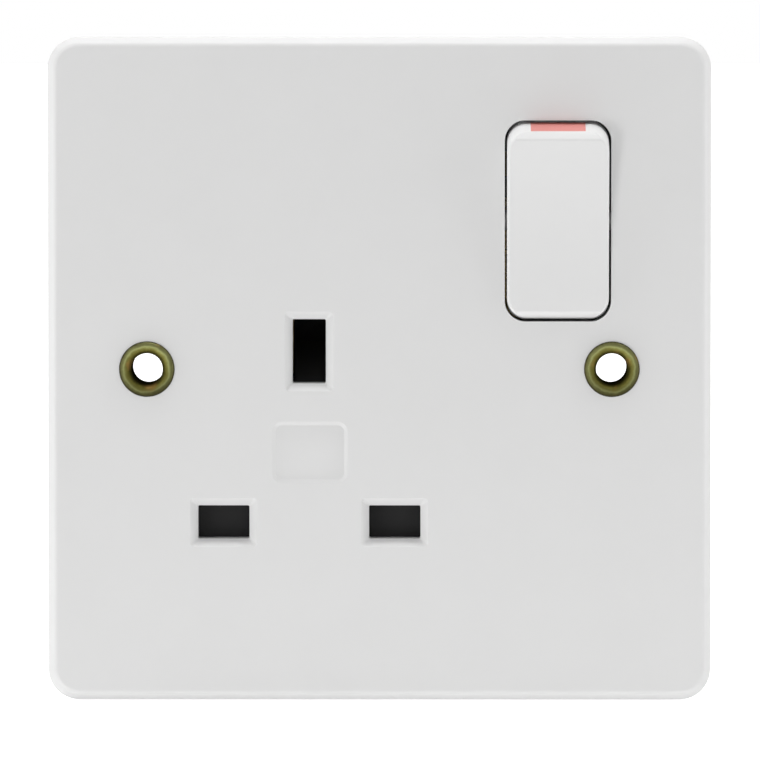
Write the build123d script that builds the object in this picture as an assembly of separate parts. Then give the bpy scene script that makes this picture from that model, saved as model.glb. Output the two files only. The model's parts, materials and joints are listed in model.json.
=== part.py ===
from build123d import *
import os
from math import asin, cos, radians, sin, sqrt

# Single 13 A switched socket outlet for a wall box, in millimetres.
# X runs to the viewer's right, Z up and Y into the wall.
# The origin lies midway between the two fixing holes, on the wall plane,
# where the plate's rear rim rests.

# Front plate
plate_size = 86.0
plate_depth = 9.0
plate_corner = 4.0
plate_bevel = 0.95
plate_blend = 0.9
front_wall = 2.6
rim_wall = 2.4
rib_wall = 1.5
rib_gap = 0.6
rib_end_inset = 4.5
rib_side_inset = 12.0
rib_root = 0.3
fixing_pitch = 60.3

# Pins of the plug that the socket takes
pin_pitch = 22.2
pin_rise = 22.2
live_pin_width = 6.35
earth_pin_width = 8.0
pin_thickness = 4.0
live_pin_length = 17.7
earth_pin_length = 22.7
earth_pin_x = -9.1
earth_pin_z = 2.3

# Pin apertures, with a bevel in front and a collar behind
aperture_clearance = 0.32
aperture_bevel = 1.0
aperture_corner = 0.2
mouth_corner = 0.5
collar_wall = 1.2
collar_depth = 4.4

# Bare tablet on the front
tablet_width = 9.8
tablet_height = 8.0
tablet_x = -9.0
tablet_z = -10.8
tablet_corner = 1.3
tablet_bevel = 0.5
tablet_sink = 0.25

# Rocker opening and rocker
rocker_x = 23.15
rocker_z = 19.24
opening_width = 13.8
opening_height = 26.1
opening_corner = 2.7
opening_skirt = 1.8
rocker_side_gap = 0.3
rocker_end_gap = 0.18
rocker_corner = 2.4
rocker_rim = 0.4
rocker_wall = 1.5
rocker_skirt = 1.8
rocker_travel_angle = 14.0
rocker_edge_angle = 23.2
rocker_bevel_angle = 19.5
rocker_bevel_drop = 0.55
rocker_hollow_angle = 16.5
pivot_behind_face = 3.1
trunnion_radius = 1.3
trunnion_length = 1.5
trunnion_fit = 0.06
bearing_wall = 2.8
bearing_side_wall = 1.0
bearing_back_wall = 0.9
trunnion_end_gap = 0.3
seat_mouth = 0.5
throat_share = 0.86

# Red strip in the rocker's upper end
flash_width = 7.1
flash_depth = 0.5
flash_start_angle = 2.0
flash_end_angle = 18.0

# Spring plunger in the rocker
plunger_radius = 1.5
plunger_length = 5.5
plunger_reach = 10.5
plunger_fit = 0.1
barrel_wall = 1.0
barrel_web = 1.2
barrel_reach = 7.5
spring_wire = 0.4
spring_gap = 0.15
spring_end_gap = 0.05
spring_turns = 5
barrel_start = -3.0
bore_floor = -1.0

# See-saw switch contact
seesaw_travel_angle = 25.0
seesaw_width = 4.2
seesaw_thickness = 0.8
seesaw_upper = 8.6
seesaw_lower = 6.6
plunger_gap = 0.25
rivet_radius = 1.5
rivet_head = 0.9
rivet_shank = 0.8
rivet_place = 7.0
rivet_edge = 0.5
rivet_side_lap = 0.1
rivet_end_lap = 0.7
closed_gap = 0.08
fulcrum_gap = 0.12
ledge_place = 3.6
ear_width = 0.6
ear_reach = 1.5
ear_half_height = 0.4
notch_half_height = 0.75
notch_gap = 0.15
well_floor_gap = 0.15
well_rivet_gap = 0.4

# Folded brass strip of the pin contacts
strip = 0.8
strip_width = 5.0
earth_strip_width = 3.2
rail_x = 15.9
jaw_gap = 0.15
jaw_flare = 0.5
jaw_flare_depth = 1.8
live_jaw_start = 0.6
jaw_lap = 1.0
pin_tip_gap = 0.6
earth_jaw_start = 1.5
earth_jaw_side = 0.6
earth_tip_room = 1.7
contact_bend = 0.9

# Terminal blocks and their screws
terminal_width = 6.6
terminal_height = 9.0
terminal_bottom = 19.5
terminal_wall = 0.9
terminal_thread = 2.5
cable_radius = 2.3
terminal_screw_radius = 1.75
terminal_screw_fit = 0.05
terminal_head_radius = 2.8
terminal_head = 1.8
terminal_travel = 3.2
terminal_y = 6.6
terminal_edge = 0.6
terminal_tip_gap = 0.05
terminal_head_gap = 0.1
terminal_screw_edge = 0.4
terminal_head_hole_gap = 0.35
cable_channel_gap = 0.4
strip_seat = 0.5
driver_slot_width = 0.9
driver_slot_depth = 0.8

# Shutter and its spring
shutter_thickness = 2.2
shutter_gap = 0.2
shutter_travel = 5.2
shutter_side = 1.1
shutter_lap = 1.4
shutter_bridge = 3.2
shutter_neck_side = 1.6
window_side_gap = 0.4
window_rise = 0.6
window_spare = 0.9
ramp_width = 3.8
ramp_foot = 4.2
ramp_lead = 0.25
ramp_room = 0.3
guide_wall = 1.2
return_coil_radius = 1.5
return_room = 9.0
return_coil_gap = 0.2
spring_post_wall = 1.2
spring_post_side = 0.8
spring_post_gap = 0.1
return_spring_turns = 7

# Earth strap, eyelets and rivet
strap_thickness = 1.0
strap_seat_depth = 0.2
strap_seat_gap = 0.2
strap_end_lap = 0.7
strap_width = 6.0
strap_rise = 10.0
strap_step_left = -24.5
strap_step_right = 12.0
eyelet_bore = 2.05
eyelet_wall = 0.5
eyelet_lip = 3.62
eyelet_roll = 0.55
eyelet_funnel = 1.7
eyelet_flare = 3.3
eyelet_flare_edge = 0.25
eyelet_lip_sink = 0.1
eyelet_mouth = 2.95
boss_wall = 2.2
earth_rivet_radius = 1.2
earth_rivet_head = 2.1
earth_rivet_cap = 0.7
earth_rivet_edge = 0.45

# Base moulding
base_front = -2.0
base_back = 17.5
base_left = -26.0
base_right_low = 24.0
base_right_high = 32.0
base_step = 5.6
base_half_height = 32.0
base_corner = 2.0
base_edge = 0.8
pocket_gap = 0.25
box_lug_radius = 5.5
chamber_width = 13.6
well_width = 6.8
chamber_end_gap = 1.0

# Screws that hold the base to the plate
base_screw_radius = 1.45
base_screw_fit = 0.25
base_screw_head = 2.75
base_screw_cap = 1.8
base_screw_length = 8.2
base_screw_seat = 2.5
pillar_wall = 1.75
base_screw_point = 0.7
base_screw_crown = 0.7
base_cross_half = 1.9
base_cross_depth = 1.1
base_screw_upper_z = 15.6
base_screw_side_x = 8.0
base_screw_side_z = -5.0
base_screw_lower_inset = 4.6

# Places worked out from the sizes above
front = -plate_depth
inner = front + front_wall
collar_back = front + collar_depth
shutter_front = collar_back + shutter_gap
shutter_back = shutter_front + shutter_thickness
pivot_y = front + pivot_behind_face
half_travel_angle = rocker_travel_angle / 2
rocker_radius = opening_height / 2 - rocker_end_gap
rocker_width = opening_width - 2 * rocker_side_gap
live_pin_z = earth_pin_z - pin_rise
neutral_pin_x = earth_pin_x - pin_pitch / 2
line_pin_x = earth_pin_x + pin_pitch / 2
live_aperture = (live_pin_width + aperture_clearance, pin_thickness + aperture_clearance)
earth_aperture = (pin_thickness + aperture_clearance, earth_pin_width + aperture_clearance)
half_seesaw_angle = seesaw_travel_angle / 2
wing_front = pivot_y + plunger_reach * cos(radians(half_travel_angle)) + plunger_gap
wing_back = wing_front + seesaw_thickness
fulcrum_y = wing_back
fulcrum_top = fulcrum_y + fulcrum_gap
fixed_rivet_front = wing_back + rivet_head + closed_gap
fixed_strip_y = fixed_rivet_front + rivet_head
web_y = front + live_pin_length + pin_tip_gap
web_back = web_y + strip
earth_jaw_end = front + earth_pin_length - earth_tip_room
earth_floor = front + earth_pin_length + pin_tip_gap
rivet_z = rocker_z + rivet_place
terminal_front = terminal_y - cable_radius - terminal_wall
terminal_back = terminal_y + cable_radius + terminal_thread
terminal_top = terminal_bottom + terminal_height
jaw_half = pin_thickness / 2 + jaw_gap
strap_front = base_front + strap_seat_depth
strap_back = strap_front + strap_thickness
shutter_left = neutral_pin_x - live_aperture[0] / 2 - shutter_side
shutter_right = line_pin_x + live_aperture[0] / 2 + shutter_side
window_height = pin_thickness + window_spare
window_low = live_pin_z + live_aperture[1] / 2 + window_rise
window_high = window_low + window_height
shutter_low = live_pin_z - live_aperture[1] / 2 - shutter_lap
bridge_high = window_high + shutter_bridge
ramp_low = earth_pin_z - earth_pin_width / 2 - ramp_lead
terminal_places = {"line": line_pin_x, "neutral": neutral_pin_x, "earth": earth_pin_x}
base_screw_places = {
    "upper": ((neutral_pin_x + earth_pin_x) / 2, base_screw_upper_z),
    "side": (base_screw_side_x, base_screw_side_z),
    "lower": (earth_pin_x, base_screw_lower_inset - base_half_height),
}
spring_coil = plunger_radius - spring_wire / 2 - spring_gap + plunger_fit
lip_centre = front + eyelet_lip_sink
lip_top = lip_centre - eyelet_roll
funnel_end = lip_centre + eyelet_funnel
rivet_bar_half = rivet_radius + rivet_side_lap
earth_strip_half = earth_strip_width / 2
rib_foot = inner - rib_root


# Solids between two places along each axis
def block(x, y, z):
    size = (x[1] - x[0], y[1] - y[0], z[1] - z[0])
    return Pos((x[0] + x[1]) / 2, (y[0] + y[1]) / 2, (z[0] + z[1]) / 2) * Box(*size)


def round_x(radius, x, y, z):
    return Pos((x[0] + x[1]) / 2, y, z) * Rot(0, 90, 0) * Cylinder(radius, x[1] - x[0])


def round_y(radius, x, y, z):
    return Pos(x, (y[0] + y[1]) / 2, z) * Rot(90, 0, 0) * Cylinder(radius, y[1] - y[0])


def round_z(radius, x, y, z):
    return Pos(x, y, (z[0] + z[1]) / 2) * Cylinder(radius, z[1] - z[0])


# Flat outline in the X-Z plane, made solid between two depths
def slab(sketch, y):
    return extrude(Plane.XZ.offset(-y[0]) * sketch, -(y[1] - y[0]))


def rounded(width, height, corner, x, z):
    return Pos(x, z) * RectangleRounded(width, height, corner)


# Outline in the Y-Z plane, made solid to both sides of one X place
def across(sketch, width, x):
    return extrude(Plane.YZ.offset(x) * sketch, width / 2, both=True)


# Coil spring from one height to another along its own Z axis
def coil(radius, wire, length, turns):
    path = Helix((length - wire) / turns, length - wire, radius)
    section = Plane(origin=path @ 0, z_dir=path % 0) * Circle(wire / 2)
    return Pos(0, 0, wire / 2) * sweep(section, path)


def pin_hole(aperture, x, z, y):
    return slab(rounded(*aperture, aperture_corner, x, z), y)


def bevelled_hole(aperture, x, z):
    hole = pin_hole(aperture, x, z, (front - 1, collar_back + 1))
    mouth = Plane.XZ.offset(-front) * rounded(
        aperture[0] + 2 * aperture_bevel,
        aperture[1] + 2 * aperture_bevel,
        mouth_corner,
        x,
        z,
    )
    throat = Plane.XZ.offset(-front - aperture_bevel) * rounded(*aperture, aperture_corner, x, z)
    return hole + loft([mouth.face(), throat.face()])


def tablet_recess():
    faces = []
    for y, narrower in ((front, 0), (front + tablet_sink, tablet_bevel)):
        width = tablet_width - 2 * narrower
        height = tablet_height - 2 * narrower
        outline = rounded(width, height, tablet_corner - narrower, tablet_x, tablet_z)
        faces.append((Plane.XZ.offset(-y) * outline).face())
    return loft(faces)


def collar(aperture, x, z):
    wall = 2 * collar_wall
    outline = rounded(aperture[0] + wall, aperture[1] + wall, aperture_corner + collar_wall, x, z)
    return slab(outline, (rib_foot, collar_back))


def eyelet_outline(side):
    # The outer form, from the rolled lip through the funnel to the rear flare
    tube = eyelet_bore + eyelet_wall
    with BuildSketch(Plane.XY) as outline:
        with BuildLine():
            start = (0, lip_top)
            over = (eyelet_lip - eyelet_roll, lip_top)
            edge = (eyelet_lip, lip_centre)
            under = (tube, funnel_end)
            Line(start, over)
            RadiusArc(over, edge, -eyelet_roll)
            Line(edge, under)
            Line(under, (tube, strap_back))
            Line((tube, strap_back), (eyelet_flare, strap_back))
            Line((eyelet_flare, strap_back), (eyelet_flare, -eyelet_flare_edge))
            Line((eyelet_flare, -eyelet_flare_edge), (eyelet_flare - eyelet_flare_edge, 0))
            Line((eyelet_flare - eyelet_flare_edge, 0), (0, 0))
            Line((0, 0), start)
        make_face()
    return Pos(side * fixing_pitch / 2, 0, 0) * revolve(outline.sketch, Axis.Y)


def eyelet(side):
    with BuildSketch(Plane.XY) as hollow:
        with BuildLine():
            rim = (eyelet_mouth, lip_top)
            round_in = eyelet_mouth - eyelet_bore
            neck = (eyelet_bore, lip_top + round_in)
            Line((0, lip_top), rim)
            RadiusArc(rim, neck, round_in)
            Line(neck, (eyelet_bore, 1))
            Line((eyelet_bore, 1), (0, 1))
            Line((0, 1), (0, lip_top))
        make_face()
    bore = Pos(side * fixing_pitch / 2, 0, 0) * revolve(hollow.sketch, Axis.Y)
    return eyelet_outline(side) - bore


def strap_outline(grow):
    # Flat strip that runs from eyelet to eyelet, over the earth pin
    half = strap_width / 2
    end = fixing_pitch / 2 + eyelet_flare + strap_end_lap
    points = [
        (-end, 0),
        (strap_step_left, 0),
        (strap_step_left + strap_rise - half, strap_rise),
        (strap_step_right - strap_rise + half, strap_rise),
        (strap_step_right, 0),
        (end, 0),
    ]
    with BuildSketch() as outline:
        with BuildLine():
            Polyline(points)
        trace(line_width=strap_width + 2 * grow)
    return outline.sketch


def earth_strap():
    strap = slab(strap_outline(0), (strap_front, strap_back))
    for side in (-1, 1):
        strap -= round_y(eyelet_bore + eyelet_wall, side * fixing_pitch / 2, (front, 1), 0)
    return strap - round_y(earth_rivet_radius, earth_pin_x, (front, 1), strap_rise)


def earth_rivet():
    shank = round_y(earth_rivet_radius, earth_pin_x, (strap_front, strap_back + strip), strap_rise)
    heads = []
    for y, way in ((strap_front, -1), (strap_back + strip, 1)):
        low, high = sorted((y, y + way * earth_rivet_cap))
        head = round_y(earth_rivet_head, earth_pin_x, (low, high), strap_rise)
        heads.append(fillet(head.edges().group_by(Axis.Y)[0 if way < 0 else -1], earth_rivet_edge))
    return shank + heads


def opening_outline(grow):
    return rounded(
        opening_width + 2 * grow,
        opening_height + 2 * grow,
        opening_corner + grow,
        rocker_x,
        rocker_z,
    )


def bearing(side):
    # Block beside the opening, with a snap-in seat for the trunnion
    wall_x = rocker_x + side * opening_width / 2
    far_x = wall_x + side * (trunnion_length + rocker_side_gap + bearing_side_wall)
    x = tuple(sorted((wall_x, far_x)))
    back = pivot_y + trunnion_radius + bearing_back_wall
    half = trunnion_radius + bearing_wall
    return block(x, (rib_foot, back), (rocker_z - half, rocker_z + half))


def bearing_seat(side):
    wall_x = rocker_x + side * (opening_width / 2 - seat_mouth)
    far_x = rocker_x + side * (rocker_width / 2 + trunnion_length + trunnion_end_gap)
    x = tuple(sorted((wall_x, far_x)))
    radius = trunnion_radius + trunnion_fit
    throat = throat_share * radius
    seat = round_x(radius, x, pivot_y, rocker_z)
    return seat + block(x, (pivot_y, 1), (rocker_z - throat, rocker_z + throat))


def screw_boss(x, z):
    return round_y(base_screw_radius + pillar_wall, x, (rib_foot, base_front), z)


def shutter_guide(side):
    edge = shutter_right if side > 0 else shutter_left
    near = edge + side * shutter_gap
    x = tuple(sorted((near, near + side * guide_wall)))
    low = shutter_low - shutter_travel - shutter_gap
    return block(x, (rib_foot, shutter_back), (low, bridge_high + shutter_gap))


def spring_post():
    # Rib behind the plate that carries the lower end of the shutter's spring
    top = bridge_high - shutter_bridge - return_room
    wide = return_coil_radius + spring_wire + spring_post_side
    x = (earth_pin_x - wide, earth_pin_x + wide)
    return block(x, (rib_foot, base_front - spring_post_gap), (top - spring_post_wall, top))


def plate_shell():
    outline = RectangleRounded(plate_size, plate_size, plate_corner)
    shell = slab(outline, (front, 0))
    shell = chamfer(shell.faces().sort_by(Axis.Y)[0].edges(), plate_bevel)
    shell = fillet(shell.faces().sort_by(Axis.Y)[0].edges(), plate_blend)
    hollow_size = plate_size - 2 * rim_wall
    hollow = RectangleRounded(hollow_size, hollow_size, plate_corner - rim_wall / 2)
    return shell - slab(hollow, (inner, 1))


def plate_ribs():
    ribs = []
    reach = plate_size / 2 - rim_wall / 2
    y = (rib_foot, base_front)
    for x in (base_left + rib_end_inset, base_right_low - rib_end_inset):
        for side in (-1, 1):
            z = tuple(sorted((side * (base_half_height + rib_gap), side * reach)))
            ribs.append(block((x - rib_wall / 2, x + rib_wall / 2), y, z))
    for z in (rib_side_inset - base_half_height, base_half_height - rib_side_inset):
        right = base_right_low if z < 0 else base_right_high
        for x in ((-reach, base_left - rib_gap), (right + rib_gap, reach)):
            ribs.append(block(x, y, (z - rib_wall / 2, z + rib_wall / 2)))
    for side in (-1, 1):
        x = tuple(sorted((side * (fixing_pitch / 2 + eyelet_bore + 1), side * reach)))
        ribs.append(block(x, y, (-rib_wall / 2, rib_wall / 2)))
    return ribs


def front_plate():
    plate = plate_shell() + plate_ribs()
    apertures = [
        (live_aperture, neutral_pin_x, live_pin_z),
        (live_aperture, line_pin_x, live_pin_z),
        (earth_aperture, earth_pin_x, earth_pin_z),
    ]
    for aperture, x, z in apertures:
        plate += collar(aperture, x, z)
    plate += slab(opening_outline(opening_skirt), (rib_foot, inner + opening_skirt))
    for side in (-1, 1):
        boss_radius = eyelet_bore + eyelet_wall + boss_wall
        plate += round_y(boss_radius, side * fixing_pitch / 2, (rib_foot, strap_front), 0)
        plate += bearing(side)
        plate += shutter_guide(side)
    for x, z in base_screw_places.values():
        plate += screw_boss(x, z)
    plate += spring_post()
    plate -= slab(opening_outline(0), (front - 1, 0))
    for side in (-1, 1):
        plate -= bearing_seat(side)
        plate -= eyelet_outline(side)
    for aperture, x, z in apertures:
        plate -= bevelled_hole(aperture, x, z)
    for x, z in base_screw_places.values():
        plate -= round_y(base_screw_radius, x, (inner, 1), z)
    return plate - tablet_recess()


# The rocker is drawn in its middle position about its own pivot,
# then turned and moved to the ON position.
def rocker_profile(radius, edge_angle, skirt, dish_depth):
    edge = radians(edge_angle)
    low = asin(skirt / radius)
    top = (-radius * sin(edge), radius * cos(edge))
    bottom = (top[0], -top[1])
    skirt_top = (skirt, radius * cos(low))
    skirt_bottom = (skirt, -skirt_top[1])
    with BuildSketch() as outline:
        with BuildLine():
            ThreePointArc(top, (0, radius), skirt_top)
            Line(skirt_top, skirt_bottom)
            ThreePointArc(skirt_bottom, (0, -radius), bottom)
            ThreePointArc(bottom, (top[0] + dish_depth, 0), top)
        make_face()
    return outline.sketch


def seat_rocker(shape, turn=half_travel_angle):
    return Pos(rocker_x, pivot_y, rocker_z) * Rot(turn, 0, 0) * shape


def dish_sag():
    chord = rocker_radius * cos(radians(rocker_edge_angle))
    face_radius = chord / sin(radians(half_travel_angle))
    return face_radius - sqrt(face_radius**2 - chord**2)


def end_bevel():
    # Wedge between the rocker's upper end wall and its face
    start = radians(rocker_bevel_angle)
    edge = radians(rocker_edge_angle)
    wall = Vector(-rocker_radius * sin(start), rocker_radius * cos(start))
    corner = Vector(-rocker_radius * sin(edge), rocker_radius * cos(edge))
    rise = rocker_bevel_drop * sin(radians(half_travel_angle))
    face = corner + Vector(rise, -rocker_bevel_drop)
    along = (face - wall).normalized()
    behind = wall - along
    ahead = face + along
    with BuildSketch() as outline:
        with BuildLine():
            Polyline(behind, ahead, (ahead.X, behind.Y), close=True)
        make_face()
    return across(outline.sketch, opening_width, 0)


def flash_ring(inner_radius, outer_radius, grow=0.0):
    start = flash_start_angle - grow
    end = flash_end_angle + grow
    points = []
    for radius, angle in (
        (inner_radius, start),
        (outer_radius, start),
        (outer_radius, (start + end) / 2),
        (outer_radius, end),
        (inner_radius, end),
        (inner_radius, (start + end) / 2),
    ):
        points.append((-radius * sin(radians(angle)), radius * cos(radians(angle))))
    with BuildSketch() as outline:
        with BuildLine():
            Line(points[0], points[1])
            ThreePointArc(points[1], points[2], points[3])
            Line(points[3], points[4])
            ThreePointArc(points[4], points[5], points[0])
        make_face()
    return across(outline.sketch, flash_width, 0)


def rocker_shape():
    sag = dish_sag()
    body = across(rocker_profile(rocker_radius, rocker_edge_angle, rocker_skirt, sag), rocker_width, 0)
    corners = [
        edge
        for edge in body.edges().filter_by(GeomType.CIRCLE)
        if abs(edge.radius - rocker_radius) < 0.01
    ]
    body = fillet(corners, rocker_corner)
    body -= end_bevel()
    body -= mirror(end_bevel(), Plane.XY)
    dished_face = body.faces().filter_by(GeomType.CYLINDER).sort_by(SortBy.AREA)[-1]
    body = fillet(dished_face.edges(), rocker_rim)
    inside = rocker_profile(
        rocker_radius - rocker_wall,
        rocker_hollow_angle,
        rocker_skirt + 1,
        sag,
    )
    body -= across(inside, rocker_width - 2 * rocker_wall, 0)
    barrel_radius = plunger_radius + plunger_fit + barrel_wall
    body += round_y(barrel_radius, 0, (barrel_start, barrel_reach), 0)
    reach = rocker_width / 2 - rocker_wall / 2
    body += block((-reach, reach), (barrel_start, rocker_skirt), (-barrel_web / 2, barrel_web / 2))
    for side in (-1, 1):
        x = tuple(sorted((side * reach, side * (rocker_width / 2 + trunnion_length))))
        body += round_x(trunnion_radius, x, 0, 0)
    body -= round_y(plunger_radius + plunger_fit, 0, (bore_floor, barrel_reach + 1), 0)
    return body - flash_ring(rocker_radius - flash_depth, rocker_radius + 1)


def plunger():
    # Domed pin whose tip meets the see-saw
    stem_end = plunger_reach - plunger_radius
    pin = round_y(plunger_radius, 0, (plunger_reach - plunger_length, stem_end), 0)
    return pin + Pos(0, stem_end, 0) * Sphere(plunger_radius)


def plunger_spring():
    length = plunger_reach - plunger_length - bore_floor - 2 * spring_end_gap
    spring = coil(spring_coil, spring_wire, length, spring_turns)
    return Pos(0, bore_floor + spring_end_gap, 0) * Rot(-90, 0, 0) * spring


def seesaw_shape():
    # Two wings that meet in a shallow valley, drawn about the fulcrum line
    tilt = radians(half_seesaw_angle)
    along = (-sin(tilt), cos(tilt))
    through = (-cos(tilt) * seesaw_thickness, -sin(tilt) * seesaw_thickness)
    upper = (seesaw_upper * along[0], seesaw_upper * along[1])
    lower = (seesaw_lower * along[0], -seesaw_lower * along[1])
    with BuildSketch() as outline:
        with BuildLine():
            Polyline(
                (0, 0),
                upper,
                (upper[0] + through[0], upper[1] + through[1]),
                (-seesaw_thickness / cos(tilt), 0),
                (lower[0] + through[0], lower[1] - through[1]),
                lower,
                close=True,
            )
        make_face()
    wings = across(outline.sketch, seesaw_width, 0)
    for side in (-1, 1):
        near = seesaw_width / 2 - ear_width - notch_gap
        x = tuple(sorted((side * near, side * seesaw_width)))
        wings -= block(x, (-2 * seesaw_thickness, 1), (-notch_half_height, notch_half_height))
    return wings


def moving_contact():
    wings = Pos(rocker_x, fulcrum_y, rocker_z) * Rot(-half_seesaw_angle, 0, 0) * seesaw_shape()
    return wings - round_y(rivet_shank, rocker_x, (wing_front - 1, wing_back + 1), rivet_z)


def domed_rivet(base_y, way, tail):
    # Head that bulges from base_y one way, with a shank the other way
    low, high = sorted((base_y, base_y + way * rivet_head))
    head = round_y(rivet_radius, rocker_x, (low, high), rivet_z)
    head = fillet(head.edges().group_by(Axis.Y)[-1 if way > 0 else 0], rivet_edge)
    ends = tuple(sorted((base_y, base_y - way * tail)))
    return head + round_y(rivet_shank, rocker_x, ends, rivet_z)


def fixed_contact_strip():
    x = (line_pin_x + terminal_width / 2 - strip_seat, rocker_x + rivet_radius + rivet_end_lap)
    z = (rivet_z - rivet_bar_half, rivet_z + rivet_bar_half)
    bar = block(x, (fixed_strip_y, fixed_strip_y + strip), z)
    return bar - round_y(rivet_shank, rocker_x, (0, base_back), rivet_z)


def live_jaws(x):
    # One folded strip: flared leaves above and below the pin, joined behind its tip
    half = jaw_half + strip / 2
    mouth = half + jaw_flare
    neck = live_jaw_start + jaw_flare_depth
    middle = web_y + strip / 2
    with BuildSketch() as outline:
        with BuildLine():
            FilletPolyline(
                (live_jaw_start, mouth),
                (neck, half),
                (middle, half),
                (middle, -half),
                (neck, -half),
                (live_jaw_start, -mouth),
                radius=contact_bend,
            )
        trace(line_width=strip)
    return Pos(0, 0, live_pin_z) * across(outline.sketch, live_pin_width, x)


def line_contact():
    # The strip runs from the jaws to the fulcrum post under the rocker
    y = (web_y, web_back)
    half = strip_width / 2
    rail = (rail_x - half, rail_x + half)
    neck = (rocker_x - seesaw_width / 2, rocker_x + seesaw_width / 2)
    jaw_edge = line_pin_x + live_pin_width / 2 - jaw_lap
    contact = live_jaws(line_pin_x)
    contact += block((jaw_edge, rail[1]), y, (live_pin_z - half, live_pin_z + jaw_half))
    contact += block(rail, y, (live_pin_z - half, rocker_z + half))
    contact += block((rail[0], neck[1]), y, (rocker_z - half, rocker_z + half))
    post = (rocker_z - strip / 2, rocker_z + strip / 2)
    contact += block(neck, (fulcrum_top, web_back), post)
    for side in (-1, 1):
        outer = rocker_x + side * seesaw_width / 2
        x = tuple(sorted((outer, outer - side * ear_width)))
        ear = (rocker_z - ear_half_height, rocker_z + ear_half_height)
        contact += block(x, (fulcrum_top - ear_reach, web_y), ear)
    return contact


def neutral_contact():
    y = (web_y, web_back)
    x = (neutral_pin_x - strip_width / 2, neutral_pin_x + strip_width / 2)
    return live_jaws(neutral_pin_x) + block(x, y, (live_pin_z, terminal_bottom + strip_seat))


def earth_contact():
    # Leaves beside the pin hang from a spine above it
    half = jaw_half + strip / 2
    low = earth_pin_z - earth_pin_width / 2 + earth_jaw_side
    spine_z = earth_pin_z + earth_pin_width / 2 + earth_jaw_side + strip / 2
    with BuildSketch() as outline:
        with BuildLine():
            FilletPolyline(
                (earth_pin_x - half, low),
                (earth_pin_x - half, spine_z),
                (earth_pin_x + half, spine_z),
                (earth_pin_x + half, low),
                radius=contact_bend,
            )
        trace(line_width=strip)
    contact = slab(outline.sketch, (earth_jaw_start, earth_jaw_end))
    x = (earth_pin_x - earth_strip_half, earth_pin_x + earth_strip_half)
    spine = (spine_z - strip / 2, spine_z + strip / 2)
    contact += block(x, (strap_back, earth_jaw_start + jaw_lap), spine)
    tab_top = strap_rise + strap_width / 2
    contact += block(x, (strap_back, strap_back + strip), (spine[0], tab_top))
    contact += block(x, (web_y, web_back), (spine[0], terminal_bottom + strip_seat))
    return contact - round_y(earth_rivet_radius, earth_pin_x, (-3, 2), strap_rise)


def terminal(pole):
    # Block with a cable bore from the top and a screw hole from the rear
    x = terminal_places[pole]
    half = terminal_width / 2
    body = block((x - half, x + half), (terminal_front, terminal_back), (terminal_bottom, terminal_top))
    body = chamfer(body.edges().filter_by(Axis.Z), terminal_edge)
    body -= round_z(cable_radius, x, terminal_y, (terminal_bottom - 1, terminal_top + 1))
    middle = (terminal_bottom + terminal_top) / 2
    screw_hole = terminal_screw_radius + terminal_screw_fit
    body -= round_y(screw_hole, x, (terminal_y, terminal_back + 1), middle)
    if pole == "line":
        seat = (rivet_z - rivet_bar_half, rivet_z + rivet_bar_half)
        y = (fixed_strip_y, fixed_strip_y + strip)
        return body - block((x + half - strip_seat, x + half + 1), y, seat)
    wide = earth_strip_half if pole == "earth" else strip_width / 2
    seat = (terminal_bottom - 1, terminal_bottom + strip_seat)
    return body - block((x - wide, x + wide), (web_y, web_back), seat)


def terminal_screw(pole):
    x = terminal_places[pole]
    z = (terminal_bottom + terminal_top) / 2
    tip = terminal_y + cable_radius + terminal_tip_gap
    head_front = terminal_back + terminal_travel + terminal_head_gap
    head_back = head_front + terminal_head
    shank = round_y(terminal_screw_radius, x, (tip, head_front), z)
    shank = chamfer(shank.edges().group_by(Axis.Y)[0], terminal_screw_edge)
    head = round_y(terminal_head_radius, x, (head_front, head_back), z)
    head = fillet(head.edges().group_by(Axis.Y)[-1], terminal_screw_edge)
    half = driver_slot_width / 2
    along = (x - terminal_width, x + terminal_width)
    slot = block(along, (head_back - driver_slot_depth, head_back + 1), (z - half, z + half))
    return shank + head - slot


def shutter():
    neck_half = ramp_width / 2 + shutter_neck_side
    neck = (earth_pin_x - neck_half, earth_pin_x + neck_half)
    y = (shutter_front, shutter_back)
    plate = block((shutter_left, shutter_right), y, (shutter_low, bridge_high))
    inner_left = neutral_pin_x + live_aperture[0] / 2 + shutter_side
    inner_right = line_pin_x - live_aperture[0] / 2 - shutter_side
    plate -= block((inner_left, inner_right), (front, 0), (shutter_low - 1, window_high))
    for x in (neutral_pin_x, line_pin_x):
        half = live_pin_width / 2 + window_side_gap
        plate -= block((x - half, x + half), (front, 0), (window_low, window_high))
    plate += block(neck, y, (bridge_high - 1, ramp_low))
    rise = shutter_travel
    with BuildSketch() as outline:
        with BuildLine():
            Polyline(
                (shutter_front, ramp_low - ramp_foot),
                (shutter_front, ramp_low),
                (shutter_front + rise, ramp_low + rise),
                (shutter_front + rise, ramp_low - ramp_foot + rise),
                (shutter_back, ramp_low - ramp_foot),
                close=True,
            )
        make_face()
    return plate + across(outline.sketch, ramp_width, earth_pin_x)


def shutter_spring():
    length = return_room - 2 * spring_end_gap
    low = bridge_high - shutter_bridge - return_room + spring_end_gap
    spring = coil(return_coil_radius, spring_wire, length, return_spring_turns)
    return Pos(earth_pin_x, (shutter_front + shutter_back) / 2, low) * spring


def base_outline():
    with BuildSketch() as outline:
        with BuildLine():
            Polyline(
                (base_left, -base_half_height),
                (base_right_low, -base_half_height),
                (base_right_low, base_step),
                (base_right_high, base_step),
                (base_right_high, base_half_height),
                (base_left, base_half_height),
                close=True,
            )
        make_face()
        fillet(outline.vertices(), base_corner)
        for side in (-1, 1):
            with Locations((side * fixing_pitch / 2, 0)):
                Circle(box_lug_radius, mode=Mode.SUBTRACT)
    return outline.sketch


def pocket(x, z, floor, gap=pocket_gap):
    return block((x[0] - gap, x[1] + gap), (base_front - 1, floor), (z[0] - gap, z[1] + gap))


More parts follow.
